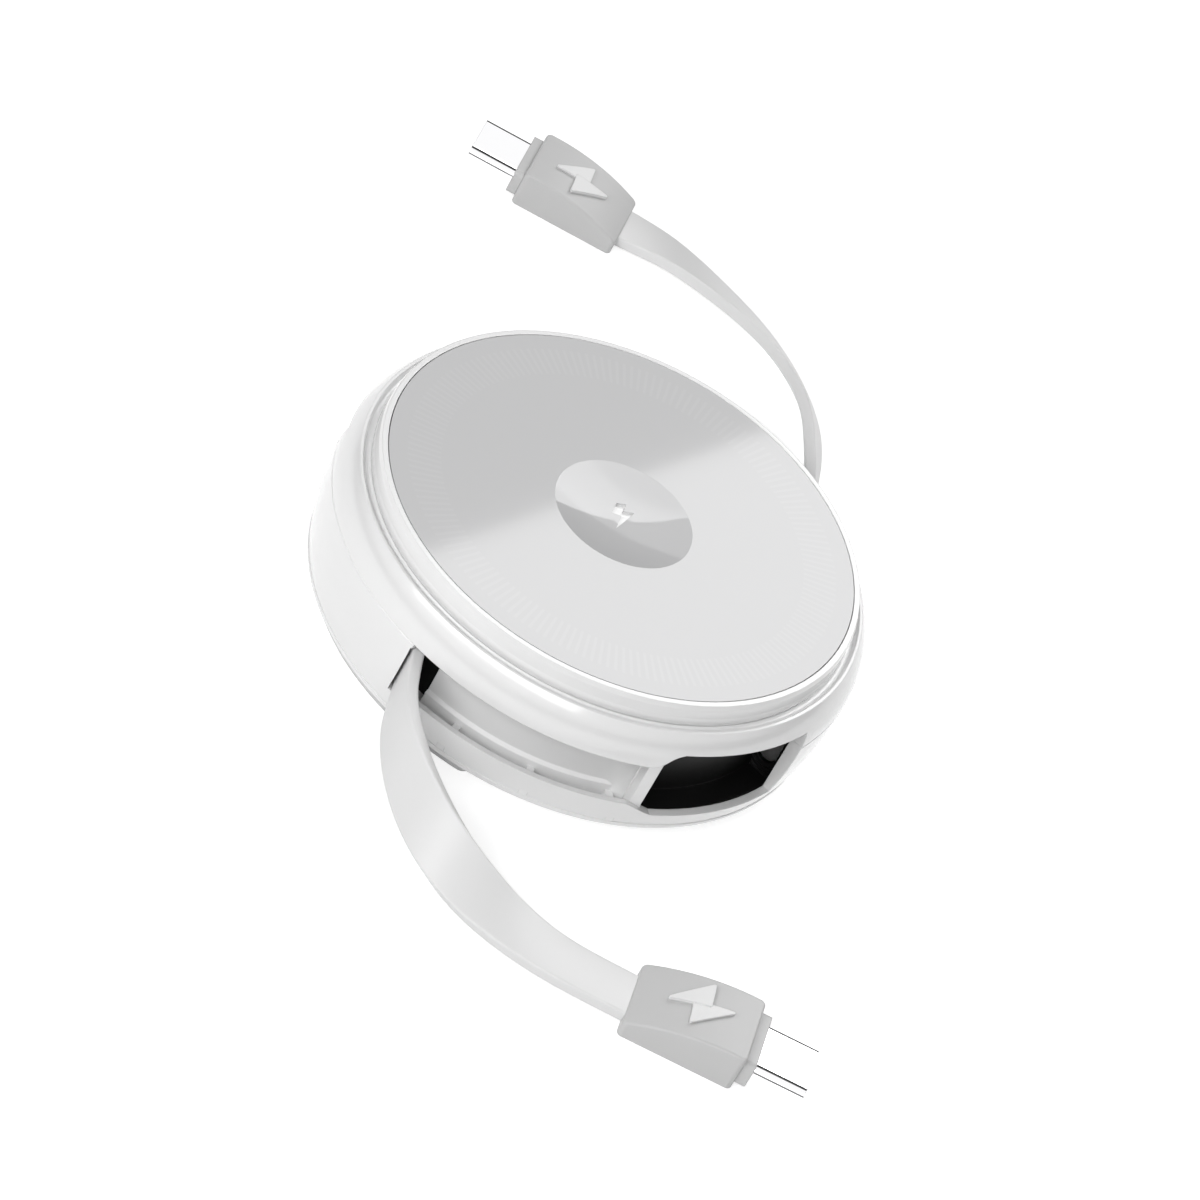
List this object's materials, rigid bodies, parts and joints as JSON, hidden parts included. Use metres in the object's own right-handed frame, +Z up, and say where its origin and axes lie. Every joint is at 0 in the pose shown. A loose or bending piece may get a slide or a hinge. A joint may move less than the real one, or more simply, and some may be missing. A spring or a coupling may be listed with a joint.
{
  "type": "retractable charging cable",
  "caption": "Round two-ended flat-cable reel with small plugs that dock in its side and a charging pad on top.",
  "frame": {"origin": "centre of the round case on the surface it stands on, so the feet are at z = 0", "axes": "+Z up along the reel's axis; -Y towards the side where the front cable leaves; +X to the right seen from there"},
  "size_m": [0.0901, 0.1395, 0.0202],
  "materials": {
    "white_shell": "gloss white",
    "grey_panel": "semi-gloss light grey",
    "plug_grey": "soft matte light grey",
    "cable_grey": "soft matte light grey",
    "bright_metal": "polished",
    "steel": "plain",
    "black_plastic": "satin black",
    "contact_metal": "gold-coloured",
    "copper": "enamelled wire",
    "ferrite": "dark ceramic",
    "board_green": "solder mask",
    "chip_black": "moulded",
    "reel_plastic": "natural moulded",
    "foot_rubber": "matte light grey"
  },
  "bodies": {
    "case": {"top_panel": "grey_panel", "pad_bezel": "white_shell", "alignment_magnets": "steel", "charging_coil": "copper", "ferrite_shield": "ferrite", "circuit_board": "board_green", "board_components": "chip_black", "contact_carrier": "black_plastic", "contact_springs": "contact_metal", "upper_shell": "white_shell", "lower_shell": "white_shell", "front_dock_liner": "black_plastic", "back_dock_liner": "black_plastic", "reel_cage": "black_plastic", "axle_pin": "steel", "axle_screw": "steel", "spring_arbor": "steel", "spool_washer": "black_plastic", "latch_ball": "steel", "front_foot": "foot_rubber", "right_foot": "foot_rubber", "left_foot": "foot_rubber", "front_cable": "cable_grey", "back_cable": "cable_grey", "front_plug_housing": "plug_grey", "front_plug_collar": "plug_grey", "front_usb_shell": "bright_metal", "front_usb_insulator": "black_plastic", "front_usb_contacts": "contact_metal", "back_plug_housing": "plug_grey", "back_plug_collar": "plug_grey", "back_usb_shell": "bright_metal", "back_usb_insulator": "black_plastic", "back_usb_contacts": "contact_metal"},
    "reel": {"spool": "reel_plastic", "spool_bush": "steel", "spool_lid": "reel_plastic", "spring_cover": "reel_plastic", "slip_ring_board": "board_green", "contact_rings": "contact_metal", "cable_windings": "cable_grey", "power_spring": "steel"}
  },
  "joints": [
    {"name": "spool_spin", "type": "hinge", "parent": "case", "child": "reel", "pos_m": [0, 0, 0.01], "axis": [0, 0, 1], "range_deg": [-155, 1245]}
  ]
}
